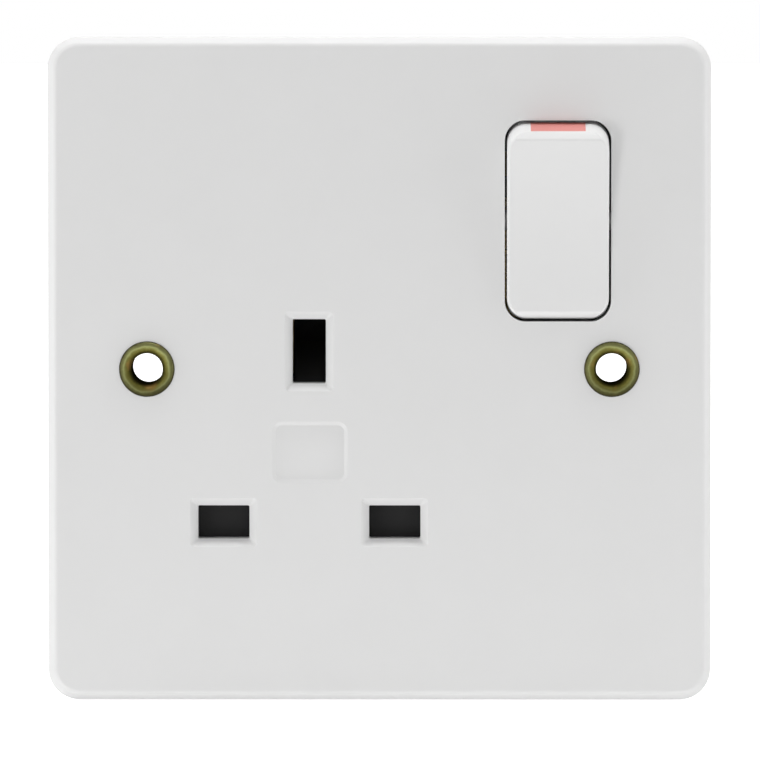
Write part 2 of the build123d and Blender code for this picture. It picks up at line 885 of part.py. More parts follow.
def pin_pockets():
    live_half = jaw_half + strip + jaw_flare
    cuts = []
    for x in (neutral_pin_x, line_pin_x):
        half = live_pin_width / 2
        z = (live_pin_z - live_half, live_pin_z + live_half)
        cuts.append(pocket((x - half, x + half), z, web_back))
    half = jaw_half + strip
    low = earth_pin_z - earth_pin_width / 2
    high = earth_pin_z + earth_pin_width / 2 + earth_jaw_side + strip
    cuts.append(pocket((earth_pin_x - half, earth_pin_x + half), (low, high), earth_floor))
    wide = return_coil_radius + spring_wire / 2
    z = (bridge_high - shutter_bridge - return_room, bridge_high - shutter_bridge)
    coil_back = (shutter_front + shutter_back) / 2 + wide + return_coil_gap
    cuts.append(pocket((earth_pin_x - wide, earth_pin_x + wide), z, coil_back))
    ramp = (earth_pin_x - ramp_width / 2, earth_pin_x + ramp_width / 2)
    z = (ramp_low - ramp_foot - shutter_travel, low)
    cuts.append(pocket(ramp, z, shutter_front + shutter_travel + ramp_room))
    return cuts


def strip_channels():
    half = strip_width / 2
    jaw_top = live_pin_z + jaw_half
    spine = earth_pin_z + earth_pin_width / 2
    rail = (rail_x - half, rail_x + half)
    neck = (rocker_x - seesaw_width / 2, rocker_x + seesaw_width / 2)
    earth = (earth_pin_x - earth_strip_half, earth_pin_x + earth_strip_half)
    fixed = (line_pin_x + terminal_width / 2, rocker_x)
    bar = (rivet_z - rivet_bar_half, rivet_z + rivet_bar_half)
    return [
        pocket((neutral_pin_x - half, neutral_pin_x + half), (jaw_top, terminal_bottom), web_back),
        pocket(earth, (spine, terminal_bottom), web_back),
        pocket((line_pin_x, rail[1]), (live_pin_z - half, live_pin_z + jaw_half), web_back),
        pocket(rail, (live_pin_z - half, rocker_z + half), web_back),
        pocket((rail[0], neck[1]), (rocker_z - half, rocker_z + half), web_back),
        pocket(fixed, bar, fixed_strip_y + strip),
    ]


def switch_chamber():
    # Wide room under the rocker, with a deeper well behind the fixed contact
    room = (rocker_x - chamber_width / 2, rocker_x + chamber_width / 2)
    well = (rocker_x - well_width / 2, rocker_x + well_width / 2)
    low = rocker_z - seesaw_lower - chamber_end_gap
    high = rocker_z + seesaw_upper + chamber_end_gap
    ledge = rocker_z - ledge_place
    return [
        pocket(room, (low, high), fulcrum_y + well_floor_gap, 0),
        pocket(well, (ledge, rivet_z + rivet_radius + well_rivet_gap), fixed_strip_y + strip, 0),
    ]


def terminal_pockets():
    cuts = []
    half = terminal_width / 2
    middle = (terminal_bottom + terminal_top) / 2
    for x in terminal_places.values():
        cuts.append(pocket((x - half, x + half), (terminal_bottom, terminal_top), terminal_back))
        channel = (terminal_top - 1, base_half_height + 1)
        cuts.append(round_z(cable_radius + cable_channel_gap, x, terminal_y, channel))
        head_hole = terminal_head_radius + terminal_head_hole_gap
        cuts.append(round_y(head_hole, x, (terminal_back - 1, base_back + 1), middle))
    return cuts


def base_moulding():
    base = slab(base_outline(), (base_front, base_back))
    base = chamfer(base.faces().sort_by(Axis.Y)[-1].edges(), base_edge)
    base -= pin_pockets() + strip_channels() + switch_chamber() + terminal_pockets()
    base -= slab(strap_outline(strap_seat_gap), (base_front - 1, strap_back))
    head_hole = earth_rivet_head + pocket_gap
    head_floor = strap_back + strip + earth_rivet_cap + strap_seat_gap
    base -= round_y(head_hole, earth_pin_x, (base_front - 1, head_floor), strap_rise)
    for x, z in base_screw_places.values():
        base -= round_y(base_screw_radius + base_screw_fit, x, (base_front - 1, base_back + 1), z)
        base -= round_y(base_screw_head + base_screw_fit, x, (base_screw_seat, base_back + 1), z)
    return base


def base_screw(x, z):
    tip = base_screw_seat - base_screw_length
    shank = round_y(base_screw_radius, x, (tip, base_screw_seat), z)
    shank = chamfer(shank.edges().group_by(Axis.Y)[0], base_screw_point)
    head = round_y(base_screw_head, x, (base_screw_seat, base_screw_seat + base_screw_cap), z)
    head = fillet(head.edges().group_by(Axis.Y)[-1], base_screw_crown)
    half = driver_slot_width / 2
    top = base_screw_seat + base_screw_cap
    screw = shank + head
    for x_half, z_half in ((half, base_cross_half), (base_cross_half, half)):
        y = (top - base_cross_depth, top + 1)
        screw -= block((x - x_half, x + x_half), y, (z - z_half, z + z_half))
    return screw


parts = {
    "front_plate": front_plate(),
    "rocker": seat_rocker(rocker_shape()),
    "on_flash": seat_rocker(flash_ring(rocker_radius - flash_depth, rocker_radius)),
    "plunger": seat_rocker(plunger()),
    "plunger_spring": seat_rocker(plunger_spring()),
    "eyelet_left": eyelet(-1),
    "eyelet_right": eyelet(1),
    "earth_strap": earth_strap(),
    "earth_rivet": earth_rivet(),
    "shutter": shutter(),
    "shutter_spring": shutter_spring(),
    "base_moulding": base_moulding(),
    "line_contact": line_contact(),
    "neutral_contact": neutral_contact(),
    "earth_contact": earth_contact(),
    "moving_contact": moving_contact(),
    "moving_contact_rivet": domed_rivet(wing_back, 1, seesaw_thickness),
    "fixed_contact_strip": fixed_contact_strip(),
    "fixed_contact_rivet": domed_rivet(fixed_strip_y, -1, strip),
}
for pole in terminal_places:
    parts[f"{pole}_terminal"] = terminal(pole)
    parts[f"{pole}_terminal_screw"] = terminal_screw(pole)
for place, (screw_x, screw_z) in base_screw_places.items():
    parts[f"base_screw_{place}"] = base_screw(screw_x, screw_z)

os.makedirs("parts", exist_ok=True)
for name, shape in parts.items():
    export_step(shape, f"parts/{name}.step")
    print(name, round(shape.volume, 2), len(shape.solids()))
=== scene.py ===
# %% [markdown]
# # A switched socket outlet
# The socket is already built as solids: a white front plate, a rocker,
# brass inside, a black base behind. This notebook loads those solids as a
# fixed frame and gives each one its finish. Nothing is moved or resized.

# %% Load the frame
import json
from math import cos, radians

import bmesh
import bpy
from mathutils import Matrix, Vector


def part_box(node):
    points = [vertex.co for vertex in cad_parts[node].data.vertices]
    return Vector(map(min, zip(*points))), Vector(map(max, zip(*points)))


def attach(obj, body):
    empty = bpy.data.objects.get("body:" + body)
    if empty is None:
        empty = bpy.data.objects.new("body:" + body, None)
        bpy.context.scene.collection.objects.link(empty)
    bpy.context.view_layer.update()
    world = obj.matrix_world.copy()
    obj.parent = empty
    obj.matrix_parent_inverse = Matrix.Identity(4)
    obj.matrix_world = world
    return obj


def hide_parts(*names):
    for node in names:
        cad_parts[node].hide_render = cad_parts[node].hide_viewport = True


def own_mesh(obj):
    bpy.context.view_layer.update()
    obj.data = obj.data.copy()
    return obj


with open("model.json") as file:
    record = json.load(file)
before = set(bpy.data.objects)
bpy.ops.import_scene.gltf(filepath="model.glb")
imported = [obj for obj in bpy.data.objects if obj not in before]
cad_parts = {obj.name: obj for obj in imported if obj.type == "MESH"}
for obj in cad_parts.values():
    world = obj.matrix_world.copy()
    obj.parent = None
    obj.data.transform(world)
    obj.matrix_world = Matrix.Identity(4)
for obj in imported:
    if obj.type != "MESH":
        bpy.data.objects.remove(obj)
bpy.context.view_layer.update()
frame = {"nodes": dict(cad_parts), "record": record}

nodes = frame["nodes"]

# %% [markdown]
# ## Sizes read from the frame
# Sizes that the solids already hold are measured from their boxes, so the
# finished pieces stay true when the part changes. Only what belongs to the
# picture, such as the camera's distance, is a number of its own.

# %% Measure the main pieces
MM = 0.001
plate_low, plate_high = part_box("front_plate")
front_y = plate_low.y
plate_bottom = plate_low.z
print("front face at y", round(front_y / MM, 2), "bottom edge at z", round(plate_bottom / MM, 2))

# %% [markdown]
# ## Node helpers
# Every finish is a small tree of shader nodes. A few helpers keep the trees
# readable: add makes a node with its settings, plug gives a socket a number
# or a link, and the others are the patterns and sums that come back often.
# All patterns use Object coordinates, which are metres on the real part, so
# a grain of a tenth of a millimetre is that size on every piece.

# %% Helpers for shader trees
def new_material(name):
    """A material and its empty node tree."""
    material = bpy.data.materials.new(name)
    material.use_nodes = True
    tree = material.node_tree
    tree.nodes.clear()
    return material, tree


def add(tree, kind, **settings):
    """A new node. A setting goes to the socket of that name, or else to the node."""
    node = tree.nodes.new(kind)
    for key, value in settings.items():
        if key in node.inputs:
            node.inputs[key].default_value = value
        else:
            setattr(node, key, value)
    return node


def plug(tree, item, socket):
    """Gives a socket a number, a node's first output or another socket."""
    if isinstance(item, (int, float)):
        socket.default_value = item
    elif isinstance(item, bpy.types.Node):
        tree.links.new(item.outputs[0], socket)
    else:
        tree.links.new(item, socket)


def grain(tree, coordinates, size, detail=2.0, rough=0.5):
    """Soft noise whose blobs are about one size, in metres."""
    noise = add(tree, "ShaderNodeTexNoise", Scale=1.0 / size, Detail=detail, Roughness=rough)
    tree.links.new(coordinates.outputs["Object"], noise.inputs["Vector"])
    return noise


def spread(tree, source, low, high, start=0.35, end=0.65):
    """Turns a value from start to end into one from low to high."""
    node = add(tree, "ShaderNodeMapRange")
    node.inputs["From Min"].default_value = start
    node.inputs["From Max"].default_value = end
    node.inputs["To Min"].default_value = low
    node.inputs["To Max"].default_value = high
    plug(tree, source, node.inputs["Value"])
    return node


def tones(tree, source, stops):
    """Colours at places along a noise value."""
    ramp = add(tree, "ShaderNodeValToRGB")
    elements = ramp.color_ramp.elements
    elements.remove(elements[1])
    elements[0].position = stops[0][0]
    elements[0].color = (*stops[0][1], 1)
    for place, colour in stops[1:]:
        elements.new(place).color = (*colour, 1)
    plug(tree, source, ramp.inputs["Fac"])
    return ramp


def step(tree, operation, *given):
    """One step of arithmetic on numbers, nodes or sockets."""
    node = add(tree, "ShaderNodeMath", operation=operation)
    for socket, item in zip(node.inputs, given):
        plug(tree, item, socket)
    return node


def blend_colours(tree, amount, first, second):
    """The colour socket of a mix. Sockets 6, 7 and 2 are its colours A, B and Result."""
    mix = add(tree, "ShaderNodeMix", data_type="RGBA")
    plug(tree, amount, mix.inputs["Factor"])
    plug(tree, first, mix.inputs[6])
    mix.inputs[7].default_value = (*second, 1)
    return mix.outputs[2]


def tint(colour, factor):
    """The colour made lighter or darker."""
    return tuple(channel * factor for channel in colour)


def bumps(tree, height, distance):
    """Relief from a noise, as deep as the distance."""
    node = add(tree, "ShaderNodeBump", Strength=1.0, Distance=distance)
    tree.links.new(height.outputs[0], node.inputs["Height"])
    return node


def close_tree(tree, shader, colour, gloss, relief):
    """Joins colour, roughness and relief to the shader, and it to the surface."""
    plug(tree, colour, shader.inputs["Base Color"])
    plug(tree, gloss, shader.inputs["Roughness"])
    plug(tree, relief, shader.inputs["Normal"])
    out = add(tree, "ShaderNodeOutputMaterial")
    tree.links.new(shader.outputs[0], out.inputs["Surface"])


print("helpers ready")

# %% [markdown]
# ## Moulded plastic
# Urea and phenolic mouldings have one colour all the way through. What the
# eye sees is the tool's surface: a very fine grain that softens the gloss,
# and slow waves a few millimetres long where the wall shrank. A flat colour
# would look like paint, so colour, gloss and relief all vary a little here.

# %% Plastic finish
cloud_width = 9 * MM
wave_width = 14 * MM
plastic_ior = 1.5


def plastic(name, colour, gloss, grain_size, relief, wave=0.0, mottle=0.02, shine=0.5):
    """gloss is the range of the roughness, and mottle is how much the colour varies."""
    material, tree = new_material(name)
    place = add(tree, "ShaderNodeTexCoord")
    shader = add(tree, "ShaderNodeBsdfPrincipled")
    shader.inputs["IOR"].default_value = plastic_ior
    shader.inputs["Specular IOR Level"].default_value = shine
    cloud = grain(tree, place, cloud_width, detail=3.0)
    shade = tones(tree, cloud, [(0.3, tint(colour, 1 - mottle)), (0.7, tint(colour, 1 + mottle))])
    fine = grain(tree, place, grain_size, detail=3.0, rough=0.6)
    surface = bumps(tree, fine, relief)
    if wave:
        swell = bumps(tree, grain(tree, place, wave_width, detail=1.0), wave)
        tree.links.new(swell.outputs["Normal"], surface.inputs["Normal"])
    close_tree(tree, shader, shade, spread(tree, fine, *gloss), surface)
    return material


white_urea = plastic(
    "white_urea", (0.72, 0.72, 0.718), gloss=(0.36, 0.44), grain_size=0.25 * MM,
    relief=0.0015 * MM, wave=0.004 * MM, mottle=0.006,
)
rocker_urea = plastic(
    "rocker_urea", (0.76, 0.76, 0.758), gloss=(0.3, 0.36), grain_size=0.25 * MM,
    relief=0.0008 * MM, wave=0.002 * MM, mottle=0.003,
)
red_moulding = plastic(
    "red_moulding", (0.70, 0.262, 0.238), gloss=(0.35, 0.45), grain_size=0.2 * MM,
    relief=0.003 * MM, mottle=0.04,
)
black_shutter = plastic(
    "black_shutter", (0.007, 0.007, 0.0072), gloss=(0.4, 0.55), grain_size=0.15 * MM,
    relief=0.005 * MM, mottle=0.15, shine=0.2,
)
black_base = plastic(
    "black_base", (0.016, 0.016, 0.017), gloss=(0.45, 0.6), grain_size=0.22 * MM,
    relief=0.012 * MM, wave=0.02 * MM, mottle=0.12, shine=0.3,
)
brown_phenolic = plastic(
    "brown_phenolic", (0.09, 0.045, 0.025), gloss=(0.3, 0.45), grain_size=0.2 * MM,
    relief=0.004 * MM, mottle=0.2,
)
print("six plastics")

# %% [markdown]
# ## Metal
# Stamped brass shows fine rolling lines along the strip, and it tarnishes where air reaches it.
# Noise stretched along one axis makes the lines, and a coloured ramp over softer noise makes the
# tarnish. The strips straight behind the openings in the plate get a much darker brass: that
# darkness is painted shade, where they lie deep in the socket.

# %% Metal finish
along_x = (0.08, 1, 1)
along_z = (1, 1, 0.1)


def metal(name, stops, gloss, cloud_size, relief, stretch=(1, 1, 1), line_size=0.2 * MM):
    """A small number in stretch draws the rolling lines out along that axis."""
    material, tree = new_material(name)
    place = add(tree, "ShaderNodeTexCoord")
    shader = add(tree, "ShaderNodeBsdfPrincipled")
    shader.inputs["Metallic"].default_value = 1.0
    shade = tones(tree, grain(tree, place, cloud_size, detail=4.0, rough=0.6), stops)
    turn = add(tree, "ShaderNodeMapping")
    turn.inputs["Scale"].default_value = stretch
    tree.links.new(place.outputs["Object"], turn.inputs["Vector"])
    lines = add(tree, "ShaderNodeTexNoise", Scale=1.0 / line_size, Detail=2.0)
    tree.links.new(turn.outputs[0], lines.inputs["Vector"])
    close_tree(tree, shader, shade, spread(tree, lines, *gloss), bumps(tree, lines, relief))
    return material


strip_brass = metal(
    "strip_brass", [(0.35, (0.62, 0.44, 0.17)), (0.65, (0.76, 0.58, 0.28))],
    gloss=(0.22, 0.4), cloud_size=3 * MM, relief=0.004 * MM, stretch=along_x,
)
# Painted shade: a much darker brass for the strips that lie deep behind the openings.
brass_painted_shade = metal(
    "brass_painted_shade", [(0.35, (0.13, 0.088, 0.034)), (0.65, (0.24, 0.17, 0.07))],
    gloss=(0.4, 0.55), cloud_size=3 * MM, relief=0.004 * MM, stretch=along_x,
)
bar_brass = metal(
    "bar_brass", [(0.35, (0.66, 0.48, 0.2)), (0.65, (0.8, 0.62, 0.3))],
    gloss=(0.18, 0.34), cloud_size=2 * MM, relief=0.003 * MM, stretch=along_z,
)
contact_silver = metal(
    "contact_silver", [(0.3, (0.7, 0.69, 0.66)), (0.7, (0.86, 0.85, 0.82))],
    gloss=(0.2, 0.4), cloud_size=1 * MM, relief=0.004 * MM,
)
spring_wire = metal(
    "spring_wire", [(0.3, (0.42, 0.42, 0.43)), (0.7, (0.6, 0.6, 0.61))],
    gloss=(0.25, 0.4), cloud_size=1 * MM, relief=0.002 * MM,
)
plated_steel = metal(
    "plated_steel", [(0.3, (0.55, 0.54, 0.5)), (0.6, (0.68, 0.67, 0.62)), (0.8, (0.74, 0.7, 0.58))],
    gloss=(0.22, 0.4), cloud_size=1.5 * MM, relief=0.004 * MM,
)
print("six metals")

# %% [markdown]
# ## Eyelets: tarnish, painted highlight and painted shade
# The two eyelets are the only metal on the front. Their rolled lip has dull olive tarnish, and its
# colour also paints light and shade: a painted highlight along the crest, painted shade with the
# tarnish towards the rim, and a throat inside painted dark as shade, with no reflection. That
# follows the distance from the eyelet's own axis, so the shader works it out: X is folded over,
# which makes both eyelets alike, and Pythagoras gives the radius. The table of tones gives a colour
# at each share of the lip's radius. Noise moves the edges of the tones, a second, larger noise adds
# a brown stain or two, and painted shade darkens the lower part of the rim.

# %% Eyelet finish
eyelet_low, eyelet_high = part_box("eyelet_right")
eyelet_x = (eyelet_low.x + eyelet_high.x) / 2
eyelet_radius = (eyelet_high.x - eyelet_low.x) / 2
# Colour by share of the lip's radius: painted shade in the throat, a painted highlight on the
# crest, then tarnish with painted shade towards the rim.
eyelet_tones_painted_light = [
    (0.60, (0.045, 0.040, 0.009)),
    (0.67, (0.075, 0.068, 0.014)),
    (0.75, (0.118, 0.112, 0.031)),
    (0.79, (0.175, 0.178, 0.064)),
    (0.82, (0.235, 0.245, 0.096)),
    (0.86, (0.150, 0.153, 0.060)),
    (0.93, (0.105, 0.104, 0.041)),
    (0.98, (0.050, 0.047, 0.020)),
]
brown_stain = (0.20, 0.11, 0.035)
# The colour of the painted shade along the lower rim.
lower_rim_painted_shade = (0.030, 0.028, 0.010)
ragged_width = 1.1 * MM
ragged_reach = 0.022
stain_width = 2.4 * MM
gloss_width = 0.35 * MM
# Heights between which the painted shade on the rim fades in.
painted_shade_top, painted_shade_bottom = 2 * MM, -3 * MM


def tarnished_eyelet_painted_light(name):
    material, tree = new_material(name)
    place = add(tree, "ShaderNodeTexCoord")
    shader = add(tree, "ShaderNodeBsdfPrincipled")
    shader.inputs["Specular IOR Level"].default_value = 0.0
    split = add(tree, "ShaderNodeSeparateXYZ")
    tree.links.new(place.outputs["Object"], split.inputs[0])
    across = step(tree, "SUBTRACT", step(tree, "ABSOLUTE", split.outputs["X"]), eyelet_x)
    upward = split.outputs["Z"]
    squares = [step(tree, "MULTIPLY", side, side) for side in (across, upward)]
    distance = step(tree, "SQRT", step(tree, "ADD", *squares))
    radius = step(tree, "DIVIDE", distance, eyelet_radius)
    uneven = grain(tree, place, ragged_width, detail=3.0, rough=0.6)
    reach = step(tree, "ADD", radius, spread(tree, uneven, -ragged_reach, ragged_reach))
    patina_and_painted_light = tones(tree, reach, eyelet_tones_painted_light)
    stain = spread(tree, grain(tree, place, stain_width, detail=2.0), 0, 0.5, 0.56, 0.68)
    stained_and_painted_light = blend_colours(tree, stain, patina_and_painted_light, brown_stain)
    # Painted shade: the rim is darkened towards the bottom, standing in for shade that falls there.
    low_side = spread(tree, upward, 0, 1, painted_shade_top, painted_shade_bottom)
    outer = spread(tree, reach, 0, 0.9, 0.7, 0.9)
    shade = blend_colours(tree, step(tree, "MULTIPLY", low_side, outer), stained_and_painted_light, lower_rim_painted_shade)
    # The throat is not metal and has no specular layer, so only its painted shade shows there.
    plug(tree, spread(tree, radius, 0, 1, 0.60, 0.68), shader.inputs["Metallic"])
    gloss = spread(tree, grain(tree, place, gloss_width, detail=3.0), 0.34, 0.52)
    close_tree(tree, shader, shade, gloss, bumps(tree, uneven, 0.02 * MM))
    return material


olive_brass = tarnished_eyelet_painted_light("olive_brass")
print("eyelet radius in mm:", round(eyelet_radius / MM, 2))

# %% [markdown]
# ## Which finish goes on which node
# Most solids already have their true shape, so they only need a finish. A
# table of node names and finishes keeps that in one place.

# %% Dress the nodes
finish_of = {
    "front_plate": white_urea,
    "rocker": rocker_urea,
    "on_flash": red_moulding,
    "plunger": brown_phenolic,
    "shutter": black_shutter,
    "base_moulding": black_base,
}
# These strips deep behind the openings get the brass with painted shade.
behind_openings = ("earth_contact", "moving_contact", "fixed_contact_strip")
for name in nodes:
    if name.startswith("eyelet"):
        finish_of[name] = olive_brass
    elif name in behind_openings:
        finish_of[name] = brass_painted_shade
    elif name.endswith("spring"):
        finish_of[name] = spring_wire
    elif "screw" in name:
        finish_of[name] = plated_steel
    elif name.endswith("contact_rivet"):
        finish_of[name] = contact_silver
    elif name.endswith("terminal"):
        finish_of[name] = bar_brass
    elif name not in finish_of:
        finish_of[name] = strip_brass
for name, node in nodes.items():
    node.data.materials.clear()
    node.data.materials.append(finish_of[name])
print(len(finish_of), "nodes dressed")

# %% [markdown]
# ## Smooth copies of the moulded pieces
# A solid arrives as loose triangles, so a rounded edge looks faceted. Shade Smooth by angle bends
# the light on large flat faces beside a rounding, and a Weighted Normal modifier left faint
# triangles around the tablet. So each corner gets its direction here: the average of the faces that
# meet it gently, weighted by area squared. Flat faces stay flat, and the narrow strips of a
# rounding lean towards them. The copy is shown in the node's place, and the node is hidden. The
# plate counts fewer edges as gentle, because the bevel round its tablet tilts by only 27 degrees
# and would be smoothed away.

# %% Copy, weld and smooth
body_of = {}
for body, members in frame["record"]["behaviour"]["bodies"].items():
    for member in members:
        body_of[member] = body


def hand_over(piece, node):
    """The piece moves and counts as the node, which is hidden."""
    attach(piece, body_of[node])
    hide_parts(node)


def weld(mesh, distance=0.0005 * MM):
    """Joins the loose triangles where their corners meet."""
    work = bmesh.new()
    work.from_mesh(mesh)
    bmesh.ops.remove_doubles(work, verts=work.verts, dist=distance)
    bmesh.ops.dissolve_degenerate(work, edges=work.edges, dist=distance)
    work.to_mesh(mesh)
    work.free()


def soft_normals(mesh, crease):
    """Gives each corner the mean direction of the faces that it meets gently."""
    gentle = cos(radians(crease))
    tiny = 1e-9
    faces_at = [[] for _ in mesh.vertices]
    for face in mesh.polygons:
        for vertex in face.vertices:
            faces_at[vertex].append(face.index)
    directions = [face.normal.copy() for face in mesh.polygons]
    weights = [(face.area / MM**2) ** 2 for face in mesh.polygons]
    corners = []
    for face in mesh.polygons:
        own = directions[face.index]
        for vertex in face.vertices:
            total = own * tiny
            for other in faces_at[vertex]:
                if own.dot(directions[other]) > gentle:
                    total += directions[other] * weights[other]
            corners.append(total.normalized())
    mesh.shade_smooth()
    mesh.normals_split_custom_set(corners)


def link_new(name, data):
    piece = bpy.data.objects.new(name, data)
    bpy.context.scene.collection.objects.link(piece)
    return piece


def welded_copy(node):
    """A new piece with the node's shape and finish, as one joined mesh."""
    mesh = nodes[node].data.copy()
    mesh.name = node + "_finished"
    weld(mesh)
    return link_new(mesh.name, mesh)


def smooth_copy(node, crease):
    piece = welded_copy(node)
    soft_normals(piece.data, crease)
    hand_over(piece, node)
    return piece


smooth_nodes = ["front_plate", "rocker", "on_flash", "shutter", "plunger"]
smooth_nodes += [name for name in nodes if "screw" in name]
smooth_nodes += [name for name in nodes if name.startswith("eyelet")]
usual_crease = 32
crease_of = {"front_plate": 20}
for name in smooth_nodes:
    finished = smooth_copy(name, crease_of.get(name, usual_crease))
    print(finished.name, len(finished.data.polygons), "faces")

# %% [markdown]
# ## Spring copies and their lengths
# The plunger and the shutter each push a coil spring together. A node rides on one body, so a
# spring stays long while the slide runs through it. Each spring gets a smooth copy on its body, and
# the script works out its length along the slide and the share of it that the slide's travel would
# leave. The copy keeps its full length.

# %% Measure the two springs
wire_crease = 40


def squash_spring(node, joint):
    """A smooth copy of the spring, with its length along the joint's axis and the share left after
    the joint's travel.
    """
    piece = smooth_copy(node, wire_crease)
    axis = Vector(joint["axis"]).normalized()
    places = [axis.dot(vertex.co) for vertex in piece.data.vertices]
    length = max(places) - min(places)
    keep = 1 - joint["range_m"][1] / length
    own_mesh(piece)
    return length, keep


joints = {joint["name"]: joint for joint in frame["record"]["behaviour"]["joints"]}
for node, slide in (("plunger_spring", "plunger_slide"), ("shutter_spring", "shutter_slide")):
    length, keep = squash_spring(node, joints[slide])
    print(node, "is", round(length / MM, 2), "mm long and keeps", round(keep, 2))

# %% [markdown]
# ## Marks in the back of the base
# A moulded base shows where the ejector pins pushed it out of its mould, as
# shallow round dents, and each terminal has its letter below the screw. Both
# are cut into the back face here, so nothing stands proud in the wall box.
# The dents repeat, so Geometry Nodes set one disc on each point of a small mesh, and only the
# points are listed. The letters are text turned into a mesh. One Boolean then takes all of them out
# of the base.

# %% Tree for the ejector dents
def dent_tree(finish):
    """A node tree that sets one upright disc on each point."""
    tree = bpy.data.node_groups.new("ejector_dents", "GeometryNodeTree")
    tree.interface.new_socket("Points", in_out="INPUT", socket_type="NodeSocketGeometry")
    tree.interface.new_socket("Radius", in_out="INPUT", socket_type="NodeSocketFloat")
    tree.interface.new_socket("Thickness", in_out="INPUT", socket_type="NodeSocketFloat")
    tree.interface.new_socket("Sides", in_out="INPUT", socket_type="NodeSocketInt")
    tree.interface.new_socket("Discs", in_out="OUTPUT", socket_type="NodeSocketGeometry")
    given = add(tree, "NodeGroupInput")
    disc = add(tree, "GeometryNodeMeshCylinder")
    tree.links.new(given.outputs["Sides"], disc.inputs["Vertices"])
    tree.links.new(given.outputs["Radius"], disc.inputs["Radius"])
    tree.links.new(given.outputs["Thickness"], disc.inputs["Depth"])
    scatter = add(tree, "GeometryNodeInstanceOnPoints")
    scatter.inputs["Rotation"].default_value = (radians(90), 0, 0)
    tree.links.new(given.outputs["Points"], scatter.inputs["Points"])
    tree.links.new(disc.outputs["Mesh"], scatter.inputs["Instance"])
    real = add(tree, "GeometryNodeRealizeInstances")
    tree.links.new(scatter.outputs[0], real.inputs[0])
    dressed = add(tree, "GeometryNodeSetMaterial")
    dressed.inputs["Material"].default_value = finish
    tree.links.new(real.outputs[0], dressed.inputs["Geometry"])
    out = add(tree, "NodeGroupOutput")
    tree.links.new(dressed.outputs[0], out.inputs[0])
    return tree


def plain_mesh(piece):
    """The piece's final shape as a mesh of its own, with no modifier left."""
    graph = bpy.context.evaluated_depsgraph_get()
    mesh = bpy.data.meshes.new_from_object(piece.evaluated_get(graph))
    piece.modifiers.clear()
    return mesh


mark_depth = 0.14 * MM
base_low, base_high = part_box("base_moulding")
back_y = base_high.y
dent_radius = 1.25 * MM
dent_places = [
    (-22.5, -28.3), (-22.5, -14), (-22, 10), (-14.6, 28.6), (-3.5, 28.6), (10, 28.6),
    (28.2, 28.6), (28.2, 11), (20.4, -28.3), (20.4, -12), (4, -28.3), (-9, -13),
    (14, 12), (-2, 10),
]
dent_points = bpy.data.meshes.new("dent_points")
dent_points.from_pydata([(x * MM, back_y, z * MM) for x, z in dent_places], [], [])
dents = link_new("dents", dent_points)
modifier = dents.modifiers.new("discs", "NODES")
modifier.node_group = dent_tree(black_base)
dent_sizes = {"Radius": dent_radius, "Thickness": 2 * mark_depth, "Sides": 40}
for socket in modifier.node_group.interface.items_tree:
    if socket.in_out == "INPUT" and socket.name in dent_sizes:
        modifier[socket.identifier] = dent_sizes[socket.name]
dents.data = plain_mesh(dents)
print(len(dent_places), "discs,", len(dents.data.polygons), "faces")

# %% [markdown]
# ## Terminal letters
# The letters say which core goes where. Text lies in its own X-Y plane, so a
# matrix turns it to read from behind: its right is the part's left. Turned
# into a mesh, it joins the discs in one cutter.

# %% Letters, and the cut
letter_size = 3.2 * MM
letter_drop = 5.6 * MM
stroke_swell = 0.03 * MM
join_distance = 0.001 * MM


def letter(text, screw):
    """One letter as a mesh, below its screw and through the back face."""
    low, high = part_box(screw)
    curve = bpy.data.curves.new("letter_" + text, "FONT")
    curve.body = text
    curve.size = letter_size
    curve.extrude = mark_depth
    curve.offset = stroke_swell
    curve.align_x = "CENTER"
    curve.align_y = "CENTER"
    holder = link_new("letter_" + text, curve)
    mesh = plain_mesh(holder)
    bpy.data.objects.remove(holder)
    middle_x = (low.x + high.x) / 2
    middle_z = (low.z + high.z) / 2 - letter_drop
    to_back_face = Matrix((
        (-1, 0, 0, middle_x),
        (0, 0, 1, back_y),
        (0, 1, 0, middle_z),
        (0, 0, 0, 1),
    ))
    mesh.transform(to_back_face)
    return mesh


screw_of = {
    "L": "line_terminal_screw",
    "N": "neutral_terminal_screw",
    "E": "earth_terminal_screw",
}
work = bmesh.new()
work.from_mesh(dents.data)
for text, screw in screw_of.items():
    work.from_mesh(letter(text, screw))
bmesh.ops.remove_doubles(work, verts=work.verts, dist=join_distance)
bmesh.ops.recalc_face_normals(work, faces=work.faces)
work.to_mesh(dents.data)
work.free()

base = welded_copy("base_moulding")
faces_before = len(base.data.polygons)
modifier = base.modifiers.new("marks", "BOOLEAN")
modifier.operation = "DIFFERENCE"
modifier.solver = "EXACT"
modifier.object = dents
base.data = plain_mesh(base)
base.data.name = base.name
bpy.data.objects.remove(dents)
soft_normals(base.data, usual_crease)
hand_over(base, "base_moulding")
print("base faces before and after the cut:", faces_before, len(base.data.polygons))

# %% [markdown]
# ## Camera
# The photograph looks almost straight at the plate, from a little above and
# a little to the right: the through-holes sit slightly off the centre of
# their eyelets, and that shift gives the distance and the height. The lens
# follows from the distance and from how wide the plate appears.

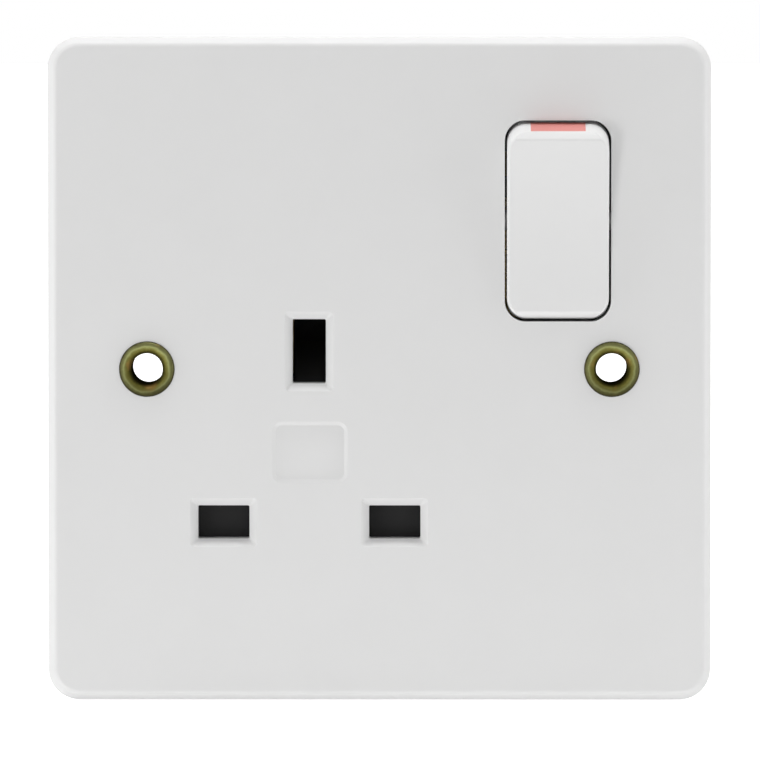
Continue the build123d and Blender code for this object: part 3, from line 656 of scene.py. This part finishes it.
# %% Place the camera
camera_distance = 1.2
camera_right = 0.007
camera_up = 0.056
picture_height = 761
plate_pixels = 664
sensor_width = 36
near_clip = 0.05
picture_centre = Vector((380, 380.5))
plate_centre = Vector((379.3, 369.2))
metres_per_pixel = (plate_high.x - plate_low.x) / plate_pixels
aim = Vector((0, front_y, 0))
aim.x += (picture_centre.x - plate_centre.x) * metres_per_pixel
aim.z -= (picture_centre.y - plate_centre.y) * metres_per_pixel
camera_data = bpy.data.cameras.new("camera")
camera = link_new("camera", camera_data)
camera.location = Vector((camera_right, front_y - camera_distance, camera_up))
camera.rotation_euler = (aim - camera.location).to_track_quat("-Z", "Y").to_euler()
camera_data.sensor_width = sensor_width
camera_data.lens = sensor_width * camera_distance / (picture_height * metres_per_pixel)
camera_data.clip_start = near_clip
bpy.context.scene.camera = camera
print("lens in mm:", round(camera_data.lens, 1))

# %% [markdown]
# ## Floor and white background
# The photograph's background is pure white. More light would burn out the
# plate, so the background is white only for what the camera, a reflection or
# a clear material sees. What it gives as light depends on how far back the
# sky lies: dim in front of the plate, bright in a band that runs round it in
# the plane of its face, and weaker again behind. Light from that band grazes
# the face, so it brightens the rounded edges more than the face, as in the
# photo, and the plate's narrow sides stay just below white.

# %% Floor and world
def seen_directly(tree):
    """One where a camera, glossy or transmission ray looks, else zero."""
    path = add(tree, "ShaderNodeLightPath")
    seen = step(tree, "MAXIMUM", path.outputs["Is Camera Ray"], path.outputs["Is Glossy Ray"])
    return step(tree, "MAXIMUM", seen, path.outputs["Is Transmission Ray"])


floor_grey = 0.8


def floor_material():
    material, tree = new_material("pale_floor")
    glow = add(tree, "ShaderNodeEmission")
    glow.inputs["Color"].default_value = (1, 1, 1, 1)
    amount = step(tree, "MULTIPLY", seen_directly(tree), floor_grey)
    plug(tree, amount, glow.inputs["Strength"])
    matt = add(tree, "ShaderNodeBsdfDiffuse")
    matt.inputs["Color"].default_value = (floor_grey, floor_grey, floor_grey, 1)
    both = add(tree, "ShaderNodeAddShader")
    tree.links.new(glow.outputs[0], both.inputs[0])
    tree.links.new(matt.outputs[0], both.inputs[1])
    out = add(tree, "ShaderNodeOutputMaterial")
    tree.links.new(both.outputs[0], out.inputs["Surface"])
    return material


floor_half = 6.0
floor_gap = 0.2 * MM
floor_z = plate_bottom - floor_gap
corners = [
    (x * floor_half, y * floor_half, floor_z) for x, y in ((-1, -1), (1, -1), (1, 1), (-1, 1))
]
floor_mesh = bpy.data.meshes.new("floor")
floor_mesh.from_pydata(corners, [], [(0, 1, 2, 3)])
floor_mesh.materials.append(floor_material())
floor = link_new("floor", floor_mesh)
floor.visible_shadow = False

bpy.context.scene.view_settings.view_transform = "Standard"
world = bpy.data.worlds.new("studio")
bpy.context.scene.world = world
world.use_nodes = True
sky = world.node_tree
sky.nodes.clear()
sky_levels = [
    (-1, 0.265), (-0.5, 0.325), (-0.2, 0.52), (-0.08, 1.3),
    (0.08, 1.9), (0.25, 1.2), (0.4, 0.7), (0.7, 0.5),
]
brightest = max(level for _, level in sky_levels)
direction = add(sky, "ShaderNodeTexCoord")
split = add(sky, "ShaderNodeSeparateXYZ")
sky.links.new(direction.outputs["Generated"], split.inputs[0])
depth = spread(sky, split.outputs["Y"], 0, 1, -1, 1)
tent = tones(sky, depth, [((y + 1) / 2, (level / brightest,) * 3) for y, level in sky_levels])
level = spread(sky, tent, 0, brightest, 0, 1)
strength = add(sky, "ShaderNodeMapRange")
strength.inputs["To Max"].default_value = 1.0
plug(sky, level, strength.inputs["To Min"])
plug(sky, seen_directly(sky), strength.inputs["Value"])
background = add(sky, "ShaderNodeBackground")
background.inputs["Color"].default_value = (1, 1, 1, 1)
plug(sky, strength, background.inputs["Strength"])
world_out = add(sky, "ShaderNodeOutputWorld")
sky.links.new(background.outputs[0], world_out.inputs["Surface"])
print("floor at z", round(floor_z / MM, 2), "mm")
print("light level from", sky_levels[0][1], "to", brightest)

# %% [markdown]
# ## Soft lights
# The raised end of the rocker has a soft shadow above it and to its right,
# so the main light stood low and to the left, with a weaker one above it.
# The rocker's top wall is nearly white, while the bevels of the apertures,
# which lie in the plate, are grey. Only light that grazes the plate does
# both, so a weak strip lamp stands close to each of its four sides, and one
# more near the bottom. Each lamp's power was fitted to the photo's tones.

# %% Lamps
def lamp(name, place, power, width, height):
    """A rectangular lamp that faces the origin. Place and sizes are in metres."""
    data = bpy.data.lights.new(name, "AREA")
    data.shape = "RECTANGLE"
    data.size = width
    data.size_y = height
    data.energy = power
    light = link_new(name, data)
    light.location = place
    light.rotation_euler = (-Vector(place)).to_track_quat("-Z", "Y").to_euler()


lamps = [
    ("key_low_left", (-0.6, -0.9, -0.5), 3.0, 0.4, 0.4),
    ("key_high_left", (-0.6, -0.9, 0.5), 1.15, 0.4, 0.4),
    ("strip_above", (0, -0.028, 0.21), 0.21, 0.3, 0.02),
    ("strip_below", (0, -0.045, -0.21), 0.1, 0.3, 0.03),
    ("near_below", (-0.05, -0.07, -0.12), 0.036, 0.3, 0.03),
    ("strip_left", (-0.21, -0.045, 0), 0.06, 0.03, 0.3),
    ("strip_right", (0.21, -0.045, 0), 0.1, 0.03, 0.3),
]
for settings in lamps:
    lamp(*settings)
print(len(lamps), "lamps")
